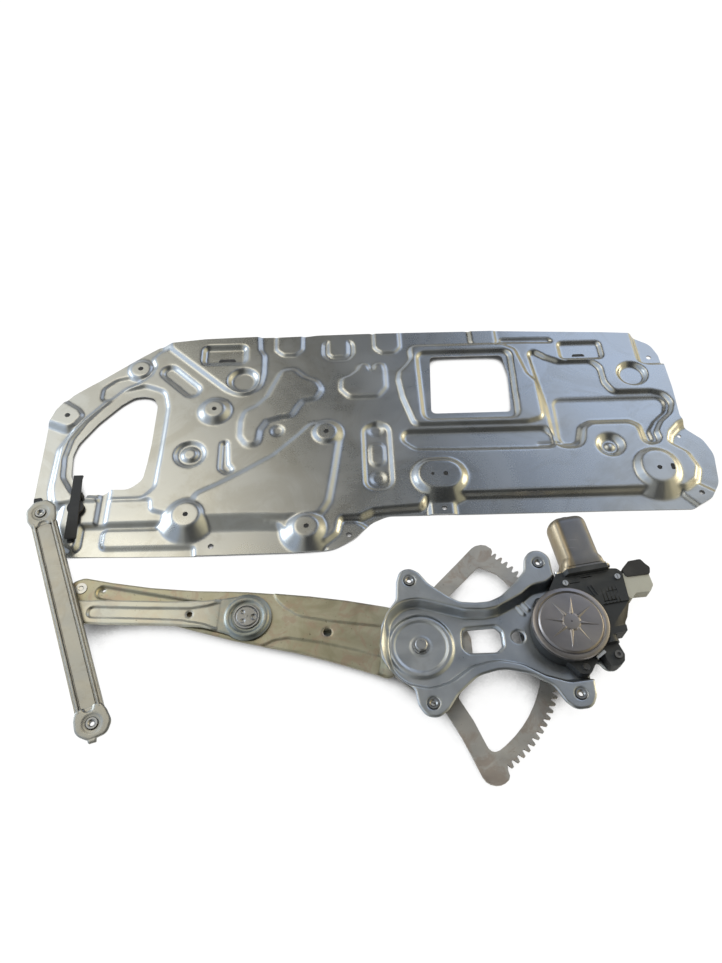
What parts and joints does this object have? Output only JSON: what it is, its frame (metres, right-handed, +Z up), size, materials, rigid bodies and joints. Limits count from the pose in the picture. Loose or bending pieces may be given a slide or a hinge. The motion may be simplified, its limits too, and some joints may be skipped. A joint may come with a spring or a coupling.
{
  "type": "window regulator",
  "caption": "Powered cross-arm window regulator with toothed sector, geared motor, equaliser arms, guide rail and pressed steel door carrier panel.",
  "frame": {"origin": "centre of the bounding box's footprint, on the surface the set lies on", "axes": "+X along the carrier panel's length, +Y from the regulator towards the carrier panel's upper edge, +Z up out of the surface, towards the side the picture shows"},
  "size_m": [0.8432, 0.6065, 0.054],
  "materials": {
    "panel_zinc": "satin zinc plated sheet",
    "plate_zinc": "satin zinc plated sheet",
    "arm_zinc": "satin yellowish zinc",
    "sector_steel": "bare fine blanked steel with a light oil film",
    "bright_steel": "turned and zinc plated",
    "dark_steel": "dark phosphate",
    "cover_alloy": "satin pressed cover",
    "can_paint": "dark satin coating",
    "black_plastic": "fine grained",
    "black_rubber": "matt",
    "cream_plastic": "smooth",
    "white_nylon": "smooth, greased",
    "amber_plastic": "smooth",
    "copper": "enamelled wire",
    "bronze": "sintered, oiled",
    "carbon": "pressed carbon",
    "ferrite": "ground ferrite",
    "spring_steel": "blued strip"
  },
  "bodies": {
    "carrier": {"door_panel": "panel_zinc", "panel_strap": "black_rubber", "panel_edge_pad": "black_rubber", "base_plate": "plate_zinc", "base_weld_nuts": "bright_steel", "pivot_bolt": "bright_steel", "pivot_washer": "bright_steel", "pivot_sleeve": "dark_steel", "balance_spring": "spring_steel", "gear_housing": "black_plastic", "gear_cover": "cover_alloy", "output_bush": "bronze", "front_bearing": "bronze", "middle_bearing": "bronze", "rear_bearing": "bronze", "thrust_plug": "white_nylon", "motor_can": "can_paint", "magnets": "ferrite", "brush_holder": "amber_plastic", "brushes": "carbon", "can_screws": "bright_steel", "housing_screws": "bright_steel", "mount_bushes": "bright_steel", "mount_screws": "bright_steel", "cover_clip": "bright_steel", "connector_body": "cream_plastic", "connector_cap": "black_rubber", "terminals": "bright_steel", "pinion_support": "plate_zinc", "support_rivets": "bright_steel"},
    "lift": {"lift_arm": "arm_zinc", "sector_gear": "sector_steel", "arm_rivets": "bright_steel", "pivot_bush": "bronze", "mid_bush": "bronze", "lift_stud": "bright_steel"},
    "lift_wheel": {"lift_roller": "white_nylon"},
    "equalizer": {"equalizer_rail_half": "arm_zinc", "equalizer_glass_half": "arm_zinc", "mid_pivot_hub": "bright_steel", "rail_stud": "bright_steel", "glass_stud": "bright_steel"},
    "glass_wheel": {"glass_roller": "white_nylon"},
    "shoe": {"rail_shoe": "white_nylon"},
    "rail": {"equalizer_rail": "arm_zinc", "rail_weld_nuts": "bright_steel"},
    "output": {"pinion_shaft": "dark_steel", "drive_hub": "dark_steel", "damper": "black_rubber", "worm_wheel": "amber_plastic"},
    "armature": {"armature_shaft": "bright_steel", "rotor_core": "dark_steel", "rotor_windings": "copper", "commutator": "copper"}
  },
  "joints": [
    {"name": "lift_arm_swing", "type": "hinge", "parent": "carrier", "child": "lift", "pos_m": [0.0319, -0.1643, 0.0177], "axis": [0, 0, 1], "range_deg": [-18, 48]},
    {"name": "pinion_spin", "type": "hinge", "parent": "carrier", "child": "output", "pos_m": [0.18643, -0.1523, 0.026], "axis": [0, 0, 1], "range_deg": [-613.5, 230.2]},
    {"name": "armature_spin", "type": "hinge", "parent": "carrier", "child": "armature", "pos_m": [0.20829, -0.05683, 0.038], "axis": [-0.153, 0.9882, 0], "range_deg": [-14262, 38029]},
    {"name": "equalizer_swing", "type": "hinge", "parent": "lift", "child": "equalizer", "pos_m": [-0.15108, -0.1234, 0.02], "axis": [0, 0, 1], "range_deg": [-96, 36]},
    {"name": "lift_roller_spin", "type": "hinge", "parent": "lift", "child": "lift_wheel", "pos_m": [-0.33407, -0.0825, 0.0143], "axis": [0, 0, 1], "continuous": true},
    {"name": "glass_roller_spin", "type": "hinge", "parent": "equalizer", "child": "glass_wheel", "pos_m": [0.03603, -0.1355, 0.0046], "axis": [0, 0, 1], "continuous": true},
    {"name": "shoe_swing", "type": "hinge", "parent": "equalizer", "child": "shoe", "pos_m": [-0.34368, -0.11094, 0.031], "axis": [0, 0, 1], "range_deg": [-20, 118]},
    {"name": "rail_slide", "type": "slide", "parent": "shoe", "child": "rail", "axis": [0.3681, -0.9298, 0], "range_m": [-0.085, 0.055]}
  ],
  "couplings": [
    {"joint": "pinion_spin", "follows": "lift_arm_swing", "ratio": -12.778},
    {"joint": "armature_spin", "follows": "lift_arm_swing", "ratio": 792.22},
    {"joint": "equalizer_swing", "follows": "lift_arm_swing", "ratio": -2}
  ]
}
